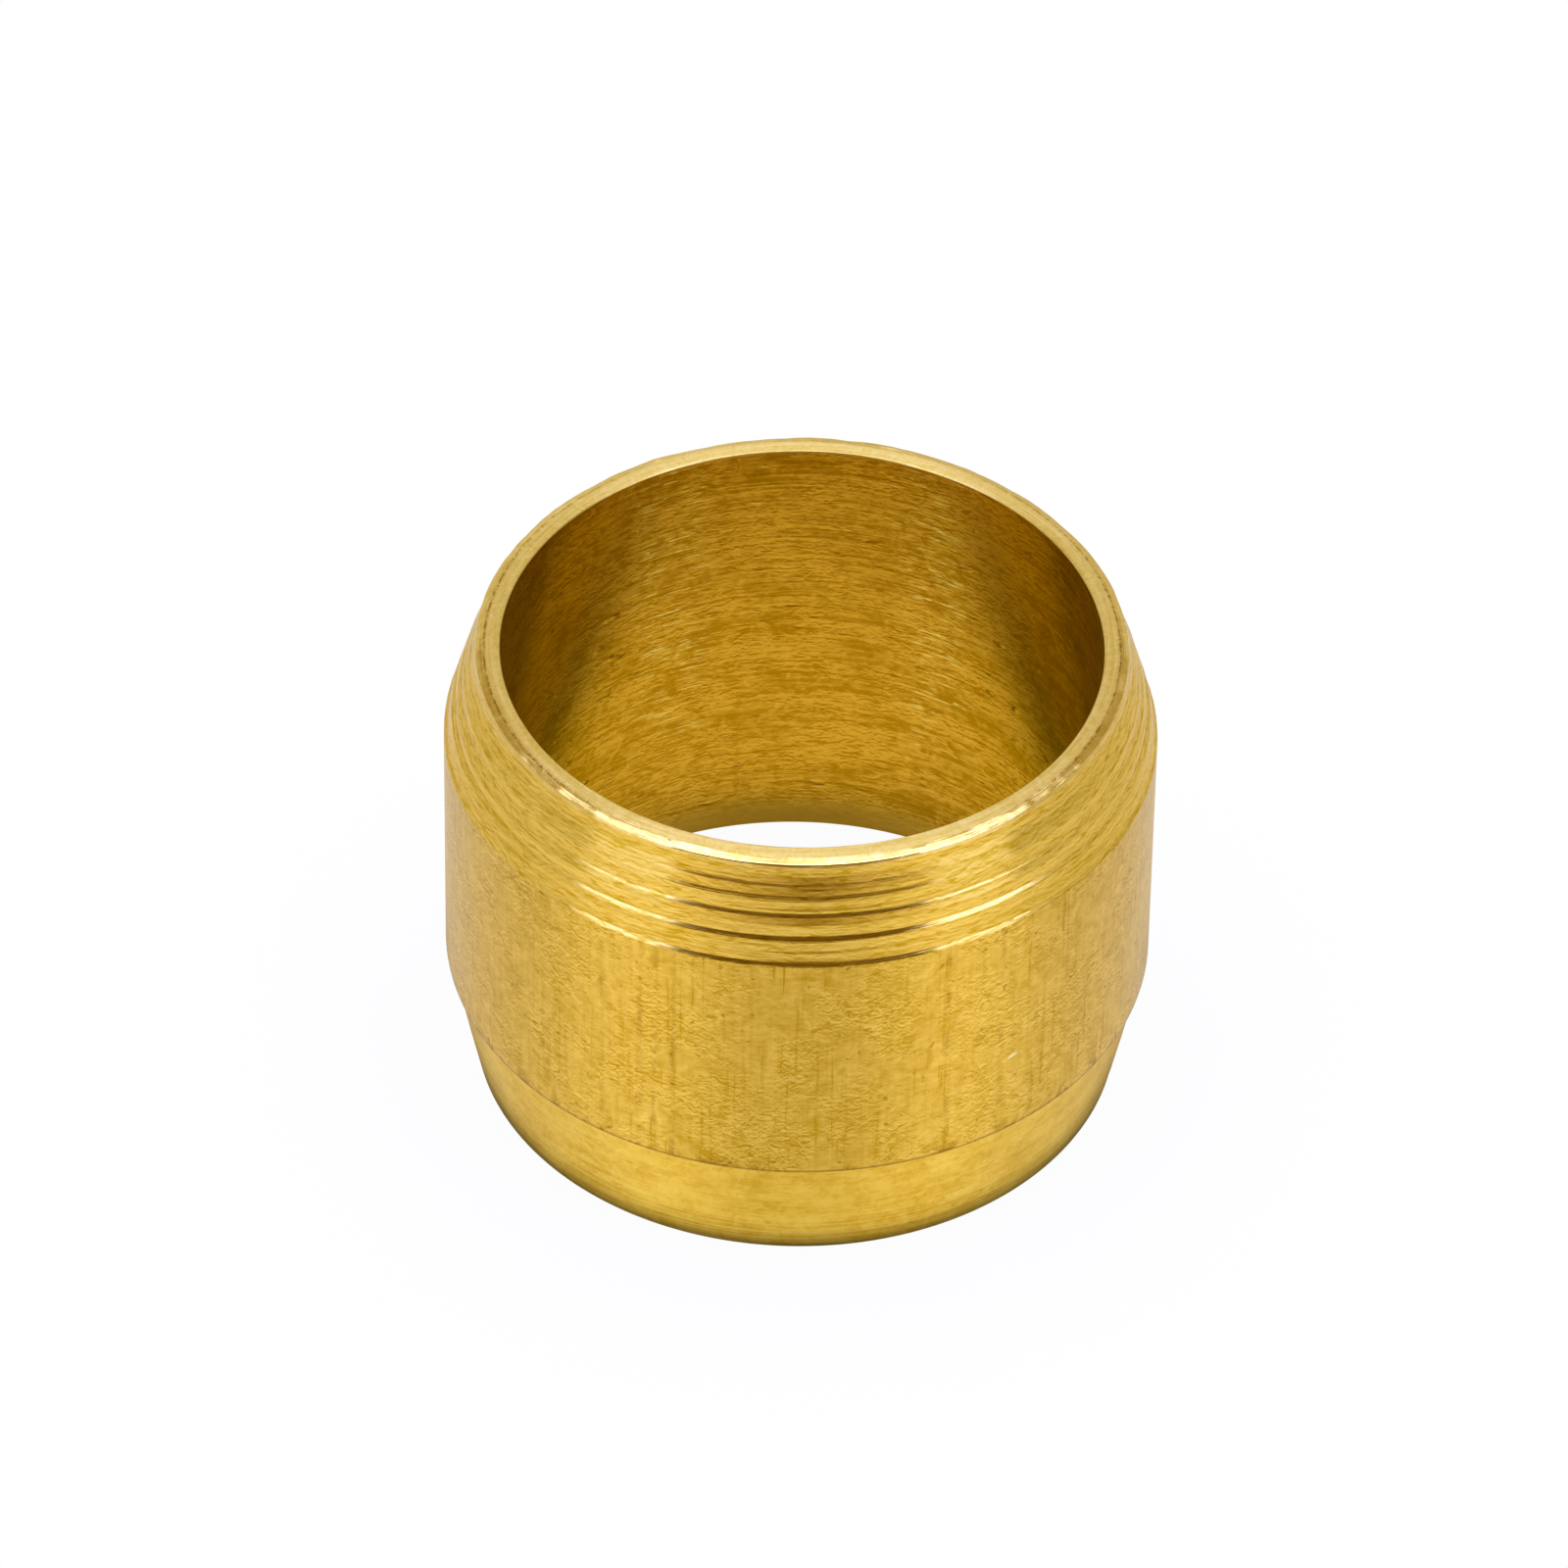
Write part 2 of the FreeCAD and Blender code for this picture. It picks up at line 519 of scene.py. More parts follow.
def press_marks(ring, name, wanted, along, across, depth, middle=0.5, direction="NORMAL"):
    """Lifts and sinks the wanted part of the ring unevenly, over a length round it and a height up it."""
    group = ring.vertex_groups.new(name=name)
    numbers = [point.index for point in ring.data.vertices if wanted(radius_of(point.co), point.co.z)]
    group.add(numbers, 1.0, "REPLACE")
    guide = bpy.data.objects.new(name, None)
    guide.scale = (along, along, across)
    bpy.context.scene.collection.objects.link(guide)
    bpy.context.view_layer.update()
    clouds = bpy.data.textures.new(name, "CLOUDS")
    clouds.noise_scale = 1.0
    clouds.noise_depth = 2
    marks = ring.modifiers.new(name, "DISPLACE")
    marks.texture = clouds
    marks.texture_coords = "OBJECT"
    marks.texture_coords_object = guide
    marks.vertex_group = name
    marks.direction = direction
    marks.strength = depth
    marks.mid_level = middle
    bpy.ops.object.modifier_apply(modifier=name)
    bpy.data.objects.remove(guide)
    bpy.data.textures.remove(clouds)
    ring.vertex_groups.remove(ring.vertex_groups[name])


def mark_ring(ring):
    """Turning lines on the lead cone and tail, ragged edges, and the rim's burr, nicks and groove."""
    ridges = lead_cone_corners()[1:-1]
    ridge_reach = 1.5 * EDGE_BREAK

    def on_lead_cone(radius, height):
        return radius > LEAD_TOP_RADIUS - RIM_EDGE and BARREL_TOP + EDGE_BREAK < height < LEAD_TOP_HEIGHT

    def on_ridge(radius, height):
        return any(math.hypot(radius - spot[0], height - spot[1]) < ridge_reach for spot in ridges)

    def on_barrel_edge(radius, height):
        return radius > BORE_RADIUS + RIM_FLAT and abs(height - BARREL_TOP) < ridge_reach

    def on_rim_land(radius, height):
        return radius > RIM_FLAT_RADIUS + EDGE_BREAK and height > LEAD_TOP_HEIGHT + EDGE_BREAK

    def in_rim_groove(radius, height):
        return abs(radius - RIM_FLAT_RADIUS) < ridge_reach and height > RIM_LAND_HEIGHT

    def above_foot(radius, height):
        return radius > TAIL_FACE_RADIUS and TAIL_EDGE < height < TAIL_LENGTH - TAIL_EDGE

    press_marks(ring, "cone lines", on_lead_cone, along=5.0 * MM, across=0.09 * MM, depth=5.5 * MICRON)
    press_marks(ring, "ragged ridges", on_ridge, along=0.8 * MM, across=0.30 * MM, depth=10 * MICRON)
    press_marks(ring, "ragged barrel edge", on_barrel_edge, along=0.30 * MM, across=0.30 * MM,
                depth=12 * MICRON, middle=0.8)
    press_marks(ring, "rim burr", on_rim_land, along=0.7 * MM, across=0.40 * MM, depth=45 * MICRON)
    press_marks(ring, "rim nicks", on_rim_land, along=0.16 * MM, across=0.16 * MM, depth=2.5 * MICRON)
    press_marks(ring, "rim groove", in_rim_groove, along=1.2 * MM, across=1.2 * MM,
                depth=12 * MICRON, middle=0.85, direction="Z")
    press_marks(ring, "foot lines", above_foot, along=4.0 * MM, across=0.16 * MM, depth=5 * MICRON)
    bpy.ops.object.shade_smooth_by_angle(angle=SHARP_ANGLE)


# Effects that the brass finishes share

def new_group(name, inputs, outputs):
    """An empty node group with its named sockets, and its two end nodes."""
    group = bpy.data.node_groups.new(name, "ShaderNodeTree")
    for label, kind in inputs.items():
        group.interface.new_socket(label, in_out="INPUT", socket_type="NodeSocket" + kind)
    for label, kind in outputs.items():
        group.interface.new_socket(label, in_out="OUTPUT", socket_type="NodeSocket" + kind)
    return group, put(group, "NodeGroupInput").outputs, put(group, "NodeGroupOutput").inputs


def in_millimetres(group, place):
    return put(group, "ShaderNodeVectorMath", {0: place, "Scale": 1 / MM}, operation="SCALE").outputs[0]


def make_turning_lines():
    """Uneven lines round the ring: so long round it, so wide across, in millimetres."""
    group, given, result = new_group(
        "turning lines", {"Place": "Vector", "Length": "Float", "Width": "Float"}, {"Lines": "Float"})
    parts = parts_of(group, in_millimetres(group, given["Place"]))
    x_square = maths(group, "POWER", parts["X"], 2.0)
    y_square = maths(group, "POWER", parts["Y"], 2.0)
    radius = maths(group, "SQRT", maths(group, "ADD", x_square, y_square))
    across = maths(group, "SUBTRACT", parts["Z"], radius)
    spot = put(group, "ShaderNodeCombineXYZ", {
        "X": maths(group, "DIVIDE", parts["X"], given["Length"]),
        "Y": maths(group, "DIVIDE", parts["Y"], given["Length"]),
        "Z": maths(group, "DIVIDE", across, given["Width"]),
    }).outputs[0]
    group.links.new(noise(group, spot, detail=2.0, roughness=0.55), result["Lines"])
    return group


def make_mottle():
    """A cloudy unevenness of one size, in millimetres, and the few dark pits in it."""
    group, given, result = new_group(
        "mottle",
        {"Place": "Vector", "Size": "Float", "Pit Size": "Float"},
        {"Mottle": "Float", "Pits": "Float"})
    place = in_millimetres(group, given["Place"])
    cloud_scale = maths(group, "DIVIDE", 1.0, given["Size"])
    grit_scale = maths(group, "DIVIDE", 1.0, given["Pit Size"])
    clouds = noise(group, place, detail=2.0, roughness=0.6, scale=cloud_scale, distortion=1.2)
    grit = noise(group, place, detail=1.0, roughness=0.5, scale=grit_scale)
    group.links.new(clouds, result["Mottle"])
    group.links.new(ramp(group, grit, 0.68, 0.78), result["Pits"])
    return group


def make_curls():
    """Short curly marks, each with a light and a dark side: so long and so high, in millimetres."""
    group, given, result = new_group(
        "curls", {"Place": "Vector", "Length": "Float", "Height": "Float"}, {"Curls": "Float"})
    parts = parts_of(group, in_millimetres(group, given["Place"]))
    upper = put(group, "ShaderNodeCombineXYZ", {
        "X": maths(group, "DIVIDE", parts["X"], given["Length"]),
        "Y": maths(group, "DIVIDE", parts["Y"], given["Length"]),
        "Z": maths(group, "DIVIDE", parts["Z"], given["Height"]),
    }).outputs[0]
    lower = put(group, "ShaderNodeVectorMath", {0: upper, 1: CURL_SHIFT}, operation="ADD").outputs[0]
    sides = [noise(group, spot, detail=1.0, roughness=0.5, distortion=1.5) for spot in (upper, lower)]
    group.links.new(maths(group, "SUBTRACT", *sides), result["Curls"])
    return group


def make_brass_tone():
    """Colour of worn brass: deep in the marks, pale on their crests, and brown in the pits."""
    group, given, result = new_group(
        "brass tone",
        {"Deep": "Color", "Plain": "Color", "Pale": "Color", "Marks": "Float", "Pits": "Float"},
        {"Colour": "Color"})
    low = blend_colour(group, ramp(group, given["Marks"], 0.0, 0.5), given["Deep"], given["Plain"])
    both = blend_colour(group, ramp(group, given["Marks"], 0.5, 1.0), low, given["Pale"])
    group.links.new(blend_colour(group, given["Pits"], both, PIT_BROWN), result["Colour"])
    return group


# Brass, one finish for each part of the ring

def start_brass(name, finish):
    """A new metal with its shine drawn out across the turning lines, and the place it is read at."""
    material = bpy.data.materials.new(name)
    material.use_nodes = True
    tree = material.node_tree
    tree.nodes.clear()
    tangent = put(tree, "ShaderNodeTangent", direction_type="RADIAL", axis="Z")
    shader = put(tree, "ShaderNodeBsdfPrincipled", {
        "Metallic": 1.0,
        "Roughness": finish.roughness,
        "Anisotropic": finish.grain,
        "Specular Tint": finish.glance,
        "Anisotropic Rotation": 0.25,
        "Tangent": tangent.outputs["Tangent"],
    })
    put(tree, "ShaderNodeOutputMaterial", {"Surface": shader.outputs["BSDF"]})
    place = put(tree, "ShaderNodeTexCoord").outputs["Object"]
    return material, tree, shader.inputs, place


def use_group(tree, group, inputs):
    return put(tree, "ShaderNodeGroup", inputs, node_tree=group).outputs


def lines_round(tree, place, length, width):
    """Turning lines, so long and so wide in millimetres."""
    return use_group(tree, turning_lines, {"Place": place, "Length": length, "Width": width})["Lines"]


def curly_marks(tree, place, length, height):
    """Curls, so long and so high in millimetres."""
    return use_group(tree, curls_group, {"Place": place, "Length": length, "Height": height})["Curls"]


def mottled(tree, place, size, pit_size):
    """The mottle and its pits, of these sizes in millimetres."""
    return use_group(tree, mottle_group, {"Place": place, "Size": size, "Pit Size": pit_size})


def weigh(tree, *shares):
    """Adds values up, each times its own weight."""
    total = 0.0
    for value, weight in shares:
        step = put(tree, "ShaderNodeMath", {0: value, 1: weight, 2: total}, operation="MULTIPLY_ADD")
        total = step.outputs[0]
    return total


def upright_streaks(tree, place, width, length):
    """Streaks that run up the ring, so wide and so long in millimetres."""
    scale = (1 / (width * MM), 1 / (width * MM), 1 / (length * MM))
    stretched = put(tree, "ShaderNodeMapping", {"Vector": place, "Scale": scale}).outputs[0]
    return noise(tree, stretched, detail=2.0, roughness=0.6)


def tone_and_bump(tree, shader, finish, marks, pits, heights):
    """Colours a finish by its marks and pits, raises its surface by heights in microns, gives the colour."""
    deep, plain, pale = tones_of(finish)
    tones = {"Deep": deep, "Plain": plain, "Pale": pale, "Marks": marks, "Pits": pits}
    colour = use_group(tree, brass_tone, tones)["Colour"]
    tree.links.new(colour, shader["Base Color"])
    height = weigh(tree, *heights)
    bump = put(tree, "ShaderNodeBump", {"Strength": 1.0, "Distance": MICRON, "Height": height})
    tree.links.new(bump.outputs["Normal"], shader["Normal"])
    return colour


def tones_of(finish):
    """Deep, plain and pale colours of one brass: blue swings most, red least."""
    swings = [swing * finish.swing for swing in COLOUR_SWINGS]
    deep = tuple(value * max(DEEPEST, 1 - swing) for value, swing in zip(finish.colour, swings))
    pale = tuple(value * (1 + swing) for value, swing in zip(finish.colour, swings))
    return (*deep, 1), (*finish.colour, 1), (*pale, 1)


def nick_highlight(tree, place):
    """The painted highlight of the one nick in the barrel's side, a short stroke that rises to the right."""
    round_it = Vector((math.cos(NICK_BEARING), math.sin(NICK_BEARING), 0))
    along = (round_it + Vector((0, 0, NICK_RISE))).normalized()
    across = (Vector((0, 0, 1)) - round_it * NICK_RISE).normalized()
    outward = Vector((math.sin(NICK_BEARING), -math.cos(NICK_BEARING), 0))
    middle = outward * BARREL_RADIUS + Vector((0, 0, NICK_HEIGHT))
    offset = put(tree, "ShaderNodeVectorMath", {0: place, 1: middle}, operation="SUBTRACT").outputs[0]
    reaches = ((along, NICK_LENGTH / 2), (across, NICK_WIDTH / 2), (outward, BARREL_RADIUS))
    spread = 0.0
    for direction, reach in reaches:
        share = put(tree, "ShaderNodeVectorMath", {0: offset, 1: direction / reach}, operation="DOT_PRODUCT")
        spread = maths(tree, "ADD", spread, maths(tree, "POWER", share.outputs["Value"], 2.0))
    return ramp(tree, spread, 1.0, 0.4)


def barrel_brass():
    """The barrel keeps the drawn bar's skin: streaks, draw lines, curls, one nick shown by a painted
    highlight, and painted shade along its foot.
    """
    material, tree, shader, place = start_brass("barrel brass", BARREL_FINISH)
    mottle = mottled(tree, place, size=0.38, pit_size=0.13)
    curls = curly_marks(tree, place, length=0.16, height=0.11)
    dashes = lines_round(tree, place, length=0.22, width=0.07)
    patches = lines_round(tree, place, length=0.9, width=0.9)
    streaks = upright_streaks(tree, place, width=0.08, length=1.8)
    crowding = upright_streaks(tree, place, width=0.9, length=5.0)
    dark_streaks = product(tree, ramp(tree, streaks, 0.40, 0.30), ramp(tree, crowding, 0.46, 0.60))
    dark_dashes = product(tree, ramp(tree, dashes, 0.37, 0.28), ramp(tree, patches, 0.56, 0.44))
    parts = parts_of(tree, place)
    bearing = bearing_from_front(tree, parts)
    lines = 0.0
    for draw_line in DRAW_LINES:
        away = distance_from(tree, bearing, draw_line)
        lines = maths(tree, "MAXIMUM", lines, ramp(tree, away, *DRAW_LINE_WIDTH))
    broken = ramp(tree, upright_streaks(tree, place, width=0.25, length=0.45), 0.44, 0.66)
    draw_lines = product(tree, lines, broken)
    # Painted shade at the barrel's foot: a dark line at its lower edge and darkening just above it
    painted_foot_line = ramp(tree, parts["Z"], *BARREL_FOOT_PAINTED_LINE)
    near_foot = ramp(tree, parts["Z"], *BARREL_FOOT_PAINTED_SHADE)
    painted_foot_shade = product(tree, near_foot, ramp(tree, mottle["Mottle"], 0.50, 0.36))
    curls = product(tree, curls, ramp(tree, patches, 0.60, 0.40, 0.15, 1.5))
    marks = weigh(tree, (mottle["Mottle"], 1.3), (curls, 1.5), (dashes, 0.7), (streaks, 0.55),
                  (dark_streaks, -0.55), (1.0, -0.775))
    pits = weigh(tree, (mottle["Pits"], 0.6), (dark_dashes, 0.5), (painted_foot_line, 0.8), (painted_foot_shade, 0.5),
                 (draw_lines, 0.42))
    heights = [(dashes, 1.5), (streaks, 1.5)]
    worn = tone_and_bump(tree, shader, BARREL_FINISH, marks, pits, heights)
    # Paints the nick's highlight over the worn colour
    with_nick_highlight = blend_colour(tree, nick_highlight(tree, place), worn, NICK_HIGHLIGHT_COLOUR)
    tree.links.new(with_nick_highlight, shader["Base Color"])
    return material


def tail_brass():
    """The tail is turned smooth and a little blotchy, with fine lines that show most above its foot."""
    material, tree, shader, place = start_brass("tail brass", TAIL_FINISH)
    mottle = mottled(tree, place, size=0.20, pit_size=0.09)
    lines = lines_round(tree, place, length=2.0, width=0.05)
    broad = lines_round(tree, place, length=4.0, width=0.2)
    blotches = lines_round(tree, place, length=0.8, width=0.4)
    dashes = lines_round(tree, place, length=0.3, width=0.07)
    parts = parts_of(tree, place)
    strength = ramp(tree, parts["Z"], *TAIL_LINES, 0.7, 2.2)
    low_lines = product(tree, maths(tree, "SUBTRACT", lines, 0.5), strength)
    marks = weigh(tree, (mottle["Mottle"], 1.3), (low_lines, 1.0), (broad, 0.5), (blotches, 1.4),
                  (1.0, -1.1))
    pits = weigh(tree, (ramp(tree, dashes, 0.34, 0.27), 0.35))
    heights = [(lines, 3.5), (broad, 3.5)]
    tone_and_bump(tree, shader, TAIL_FINISH, marks, pits, heights)
    return material


def lead_cone_brass():
    """The lead cone is freshly cut, bright between its long tool lines."""
    material, tree, shader, place = start_brass("lead cone brass", CONE_FINISH)
    coarse = lines_round(tree, place, length=6.0, width=0.11)
    fine = lines_round(tree, place, length=2.5, width=0.045)
    dashes = lines_round(tree, place, length=0.30, width=0.07)
    curls = curly_marks(tree, place, length=0.34, height=0.10)
    dark_dashes = ramp(tree, dashes, 0.40, 0.29)
    marks = weigh(tree, (coarse, 1.1), (fine, 1.4), (dashes, 1.2), (dark_dashes, -0.9), (curls, 1.4),
                  (1.0, -1.25))
    heights = [(coarse, 8.0), (fine, 4.0)]
    tone_and_bump(tree, shader, CONE_FINISH, marks, 0.0, heights)
    return material


def rim_brass():
    """The rim is faced off pale, with fine rings, a smoother land and painted shade along the flat's edge at
    the sides.
    """
    material, tree, shader, place = start_brass("rim brass", RIM_FINISH)
    rings = lines_round(tree, place, length=2.0, width=0.05)
    mottle = mottled(tree, place, size=0.14, pit_size=0.08)
    parts = parts_of(tree, place)
    across = put(tree, "ShaderNodeCombineXYZ", {"X": parts["X"], "Y": parts["Y"]}).outputs[0]
    radius = put(tree, "ShaderNodeVectorMath", {0: across}, operation="LENGTH").outputs["Value"]
    flat_edge = (RIM_FLAT_RADIUS - EDGE_BREAK, RIM_FLAT_RADIUS + EDGE_BREAK)
    roughness = ramp(tree, radius, *flat_edge, RIM_FINISH.roughness, RIM_LAND_ROUGHNESS)
    tree.links.new(roughness, shader["Roughness"])
    # Painted shade: a dark line along the flat's outer edge, only at the sides, broken by the mottle
    at_edge = ramp(tree, distance_from(tree, radius, RIM_FLAT_RADIUS), *RIM_EDGE_SHADE_WIDTH)
    at_sides = ramp(tree, maths(tree, "ABSOLUTE", parts["X"]), *RIM_EDGE_SHADE_SIDES)
    painted_edge_shade = product(tree, at_edge, at_sides, ramp(tree, mottle["Mottle"], 0.56, 0.40, 0.15, 1.0))
    marks = weigh(tree, (rings, 1.6), (mottle["Mottle"], 1.6), (1.0, -1.1))
    pits = weigh(tree, (painted_edge_shade, 0.85))
    heights = [(rings, 6.0)]
    tone_and_bump(tree, shader, RIM_FINISH, marks, pits, heights)
    return material


def bore_brass():
    """The bore is rough and dark, the dark in part painted shade, with scratches over a mottle, painted
    glints on some, and a duller foot painted lighter in place of reflected light.
    """
    material, tree, shader, place = start_brass("bore brass", BORE_FINISH)
    scratches = lines_round(tree, place, length=3.0, width=0.07)
    dashes = lines_round(tree, place, length=0.35, width=0.09)
    patches = lines_round(tree, place, length=1.6, width=0.7)
    mottle = mottled(tree, place, size=0.30, pit_size=0.12)
    fine = lines_round(tree, place, length=0.9, width=0.035)
    burrs = ramp(tree, lines_round(tree, place, length=0.5, width=0.16), 0.62, 0.84)
    curls = curly_marks(tree, place, length=0.26, height=0.10)
    curls = product(tree, curls, ramp(tree, patches, 0.40, 0.60, 0.3, 1.7))
    dark_scratches = ramp(tree, scratches, 0.34, 0.26)
    parts = parts_of(tree, place)
    foot_heights = (COUNTERSINK_DEPTH + BORE_FOOT_REACH, COUNTERSINK_DEPTH)
    dull = ramp(tree, parts["Z"], *foot_heights, BORE_FINISH.roughness, BORE_FOOT_ROUGHNESS)
    # Lighter colour at the bore's foot: painted light, in place of a brighter reflection there
    light = ramp(tree, parts["Z"], *foot_heights, 0.0, BORE_FOOT_PAINTED_SHARE)
    tree.links.new(dull, shader["Roughness"])
    marks = weigh(tree, (scratches, 1.4), (fine, 1.5), (dashes, 1.3), (patches, 1.7),
                  (mottle["Mottle"], 2.0), (curls, 2.2), (dark_scratches, -0.6), (1.0, -3.4))
    heights = [(scratches, 7.0), (dashes, 5.0), (burrs, 14.0)]
    worn = tone_and_bump(tree, shader, BORE_FINISH, marks, 0.0, heights)
    worn = blend_colour(tree, light, worn, BORE_FOOT_PAINTED_LIGHT)
    from_back = maths(tree, "ABSOLUTE", maths(tree, "ARCTAN2", parts["X"], parts["Y"]))
    in_place = ramp(tree, distance_from(tree, from_back, GLINT_BEARING), *GLINT_SPREAD, soft=True)
    high_enough = ramp(tree, parts["Z"], *GLINT_RISE)
    # Painted glints: a pale colour on scratches at two bearings from the back, in place of highlights from
    # the soft boxes
    painted_glints = product(tree, in_place, ramp(tree, dashes, 0.50, 0.60), high_enough,
                     ramp(tree, fine, 0.52, 0.60))
    first_sight = blend_colour(tree, painted_glints, worn, PAINTED_GLINT_COLOUR)
    # Rays mirrored within the bore see a painted colour that sets the shade on its side walls
    mirrored = put(tree, "ShaderNodeLightPath").outputs["Is Glossy Ray"]
    tree.links.new(blend_colour(tree, mirrored, first_sight, BORE_PAINTED_REFLECTION), shader["Base Color"])
    return material


def dress_ring(ring):
    """Gives each face of the ring the finish of its place."""
    finishes = {
        "bore": bore_brass(),
        "rim": rim_brass(),
        "lead cone": lead_cone_brass(),
        "barrel": barrel_brass(),
        "tail": tail_brass(),
    }
    ring.data.materials.clear()
    for material in finishes.values():
        ring.data.materials.append(material)
    order = list(finishes)
    for face in ring.data.polygons:
        face.material_index = order.index(finish_of(face.center))


# Studio

def light_world():
    """A pale room: a dim opening in front, a tall soft box on each side of it, a bowed strip overhead."""
    world = bpy.data.worlds.new("studio")
    bpy.context.scene.world = world
    world.use_nodes = True
    tree = world.node_tree
    tree.nodes.clear()
    place = put(tree, "ShaderNodeTexCoord").outputs["Generated"]
    parts = parts_of(tree, place)
    signed_bearing = bearing_from_front(tree, parts)
    bearing = maths(tree, "ABSOLUTE", signed_bearing)
    on_right = maths(tree, "GREATER_THAN", parts["X"], 0.0)
    from_front = distance_from(tree, signed_bearing, FRONT_SHIFT)
    past_front = ramp(tree, from_front, FRONT_EDGE - EDGE_SOFTNESS, FRONT_EDGE + EDGE_SOFTNESS, soft=True)
    overhead = ramp(tree, weigh(tree, (parts["Z"], 1.0), (parts["Y"], TOP_LEAN)), *TOP_RISE, soft=True)
    off_centre = distance_from(tree, signed_bearing, FRONT_CENTRE)
    front = blend_colour(tree, ramp(tree, off_centre, 0.0, FRONT_EDGE), FRONT_MIDDLE, FRONT_SIDE)
    front = blend_colour(tree, ramp(tree, parts["Z"], *FRONT_LIFT, soft=True), front, FRONT_HIGH)
    box_height = maths(tree, "MINIMUM", ramp(tree, parts["Z"], *BOX_LIFT, soft=True),
                       ramp(tree, parts["Z"], *BOX_TOP, soft=True))
    box = blend_colour(tree, box_height, BOX_LOW, BOX_HIGH)
    high_edge = blend_value(tree, on_right, LEFT_BOX_HIGH_EDGE, RIGHT_BOX_HIGH_EDGE)
    beyond_box = maths(tree, "SUBTRACT", bearing, blend_value(tree, box_height, BOX_EDGE, high_edge))
    past_box = ramp(tree, beyond_box, -EDGE_SOFTNESS, EDGE_SOFTNESS, soft=True)
    light = blend_colour(tree, past_front, front, box)
    light = blend_colour(tree, past_box, light, blend_colour(tree, on_right, LEFT_SIDE, RIGHT_SIDE))
    aside = maths(tree, "ABSOLUTE", parts["X"])
    top = blend_colour(tree, ramp(tree, aside, *TOP_SPREAD, soft=True), OVERHEAD, HIGH_SIDES)
    bowed = weigh(tree, (parts["Y"], 1.0), (aside, -STRIP_BOW))
    in_strip = product(tree, ramp(tree, bowed, *STRIP_BACK), ramp(tree, parts["Y"], *STRIP_FRONT),
                       ramp(tree, aside, *STRIP_ENDS))
    light = blend_colour(tree, overhead, light, blend_colour(tree, in_strip, top, STRIP))
    seen = put(tree, "ShaderNodeLightPath").outputs["Is Camera Ray"]
    colour = blend_colour(tree, seen, light, WHITE)
    background = put(tree, "ShaderNodeBackground", {"Color": colour, "Strength": 1.0})
    put(tree, "ShaderNodeOutputWorld", {"Surface": background.outputs["Background"]})
    world.cycles.sampling_method = "NONE"


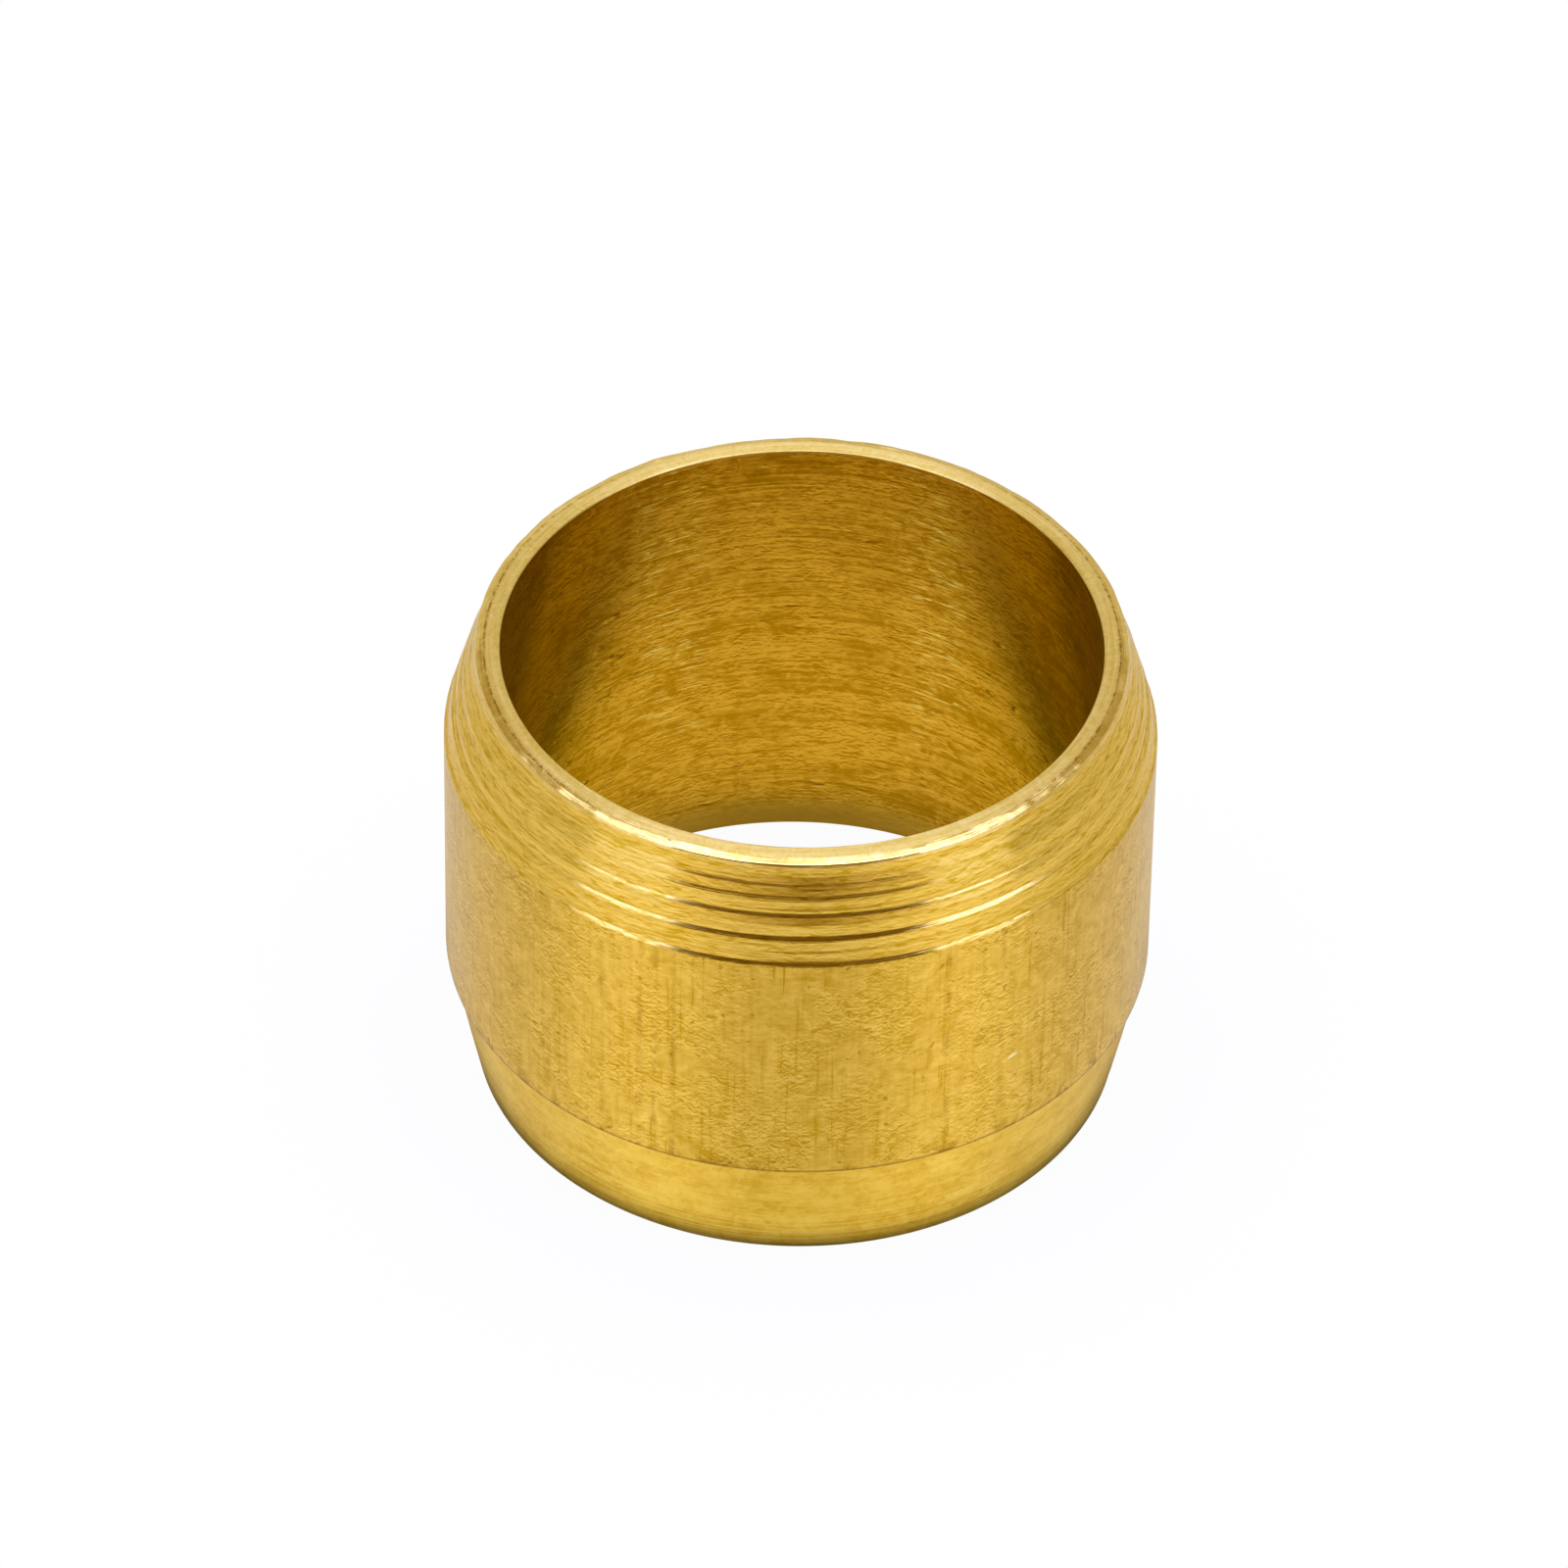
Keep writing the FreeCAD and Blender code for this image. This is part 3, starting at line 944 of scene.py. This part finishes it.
def lay_floor():
    """A round pale table top with the ring's faint shadow, and its own brightness by place in the brass."""
    deselect_everything()
    bpy.ops.mesh.primitive_circle_add(vertices=FLOOR_CORNERS, radius=FLOOR_RADIUS, fill_type="NGON")
    floor = bpy.context.object
    floor.name = "floor"
    material = bpy.data.materials.new("pale table")
    material.use_nodes = True
    tree = material.node_tree
    tree.nodes.clear()
    path = put(tree, "ShaderNodeLightPath").outputs
    place = put(tree, "ShaderNodeTexCoord").outputs["Object"]
    distance = put(tree, "ShaderNodeVectorMath", {0: place}, operation="LENGTH").outputs["Value"]
    to_eye = ramp(tree, distance, SHADOW_START, SHADOW_END, FLOOR_GLOW, 1.0)
    parts = parts_of(tree, place)
    bearing = maths(tree, "ABSOLUTE", bearing_from_front(tree, parts))
    near = ramp(tree, distance, *NEAR_FOOT)
    bearing = maths(tree, "MULTIPLY", bearing, blend_value(tree, near, 1.0, POOL_NARROW))
    pool_fall = ramp(tree, bearing, *POOL_FALL, 1.0, POOL_LEFT, soft=True)
    pool_near = blend_value(tree, near, 1.0, NEAR_POOL)
    pool = product(tree, ramp(tree, bearing, *POOL_RISE, soft=True), pool_fall, pool_near)
    table_glow = weigh(tree, (pool, POOL_GLOW), (1.0, BRASS_GLOW))
    far = product(tree, ramp(tree, distance, *FAR_TABLE, soft=True),
                  ramp(tree, bearing, *FAR_SIDES, soft=True))
    table_glow = blend_value(tree, far, table_glow, FAR_GLOW)
    shade_end = ramp(tree, parts["Y"], *FOOT_SHADE_TURN, FOOT_SHADE_FRONT, FOOT_SHADE_BACK, soft=True)
    round_foot = ramp(tree, distance, TAIL_RADIUS, shade_end, FOOT_GLOW, table_glow, soft=True)
    under_mouth = maths(tree, "LESS_THAN", distance, COUNTERSINK_RADIUS + TAIL_EDGE)
    round_foot = blend_value(tree, under_mouth, round_foot, MOUTH_GLOW)
    in_bore = maths(tree, "LESS_THAN", distance, BORE_RADIUS)
    under_bore = ramp(tree, distance, BORE_SHADE_START, BORE_SHADE_END, BORE_GLOW, BORE_SHADE)
    in_brass = blend_value(tree, in_bore, round_foot, under_bore)
    mirrored = maths(tree, "MAXIMUM", path["Is Glossy Ray"], path["Is Transmission Ray"])
    share = blend_value(tree, mirrored, product(tree, path["Is Camera Ray"], to_eye), 1.0)
    matt = put(tree, "ShaderNodeBsdfDiffuse", {"Color": FLOOR_COLOUR})
    glow = put(tree, "ShaderNodeEmission", {"Strength": blend_value(tree, mirrored, 1.0, in_brass)})
    both = put(tree, "ShaderNodeMixShader", {0: share, 1: matt.outputs["BSDF"], 2: glow.outputs["Emission"]})
    put(tree, "ShaderNodeOutputMaterial", {"Surface": both.outputs["Shader"]})
    floor.data.materials.append(material)


def set_camera():
    """Puts the camera where the picture was taken from, turned so that the ring falls in the same place."""
    camera = bpy.data.objects.new("camera", bpy.data.cameras.new("camera"))
    bpy.context.scene.collection.objects.link(camera)
    camera.data.sensor_width = SENSOR_WIDTH
    camera.data.lens = FOCAL_PIXELS / PICTURE_SIDE * SENSOR_WIDTH
    camera.data.clip_start = NEAREST_SEEN
    camera.data.clip_end = FARTHEST_SEEN
    stand = Vector((0, -math.cos(VIEW_ELEVATION), math.sin(VIEW_ELEVATION))) * VIEW_DISTANCE
    tilt = Matrix.Rotation(math.pi / 2 - VIEW_ELEVATION, 4, "X")
    roll = Matrix.Rotation(VIEW_ROLL, 4, "Z")
    right, down = (pixel - PICTURE_SIDE / 2 for pixel in CENTRE_PIXEL)
    pitch = Matrix.Rotation(math.atan2(down, FOCAL_PIXELS), 4, "X")
    yaw = Matrix.Rotation(math.atan2(right, FOCAL_PIXELS), 4, "Y")
    camera.matrix_world = Matrix.Translation(VIEW_CENTRE + stand) @ tilt @ roll @ pitch @ yaw
    bpy.context.scene.camera = camera


turning_lines = make_turning_lines()
mottle_group = make_mottle()
curls_group = make_curls()
brass_tone = make_brass_tone()

ring = draw_section(section_corners())
break_corners(ring)
refine_section(ring)
turn_section(ring)
mark_ring(ring)
dress_ring(ring)
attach(ring, "root")
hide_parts("olive")

light_world()
lay_floor()
set_camera()
bpy.context.scene.view_settings.view_transform = "Standard"
bpy.context.scene.cycles.caustics_reflective = False
bpy.context.scene.cycles.diffuse_bounces = 1
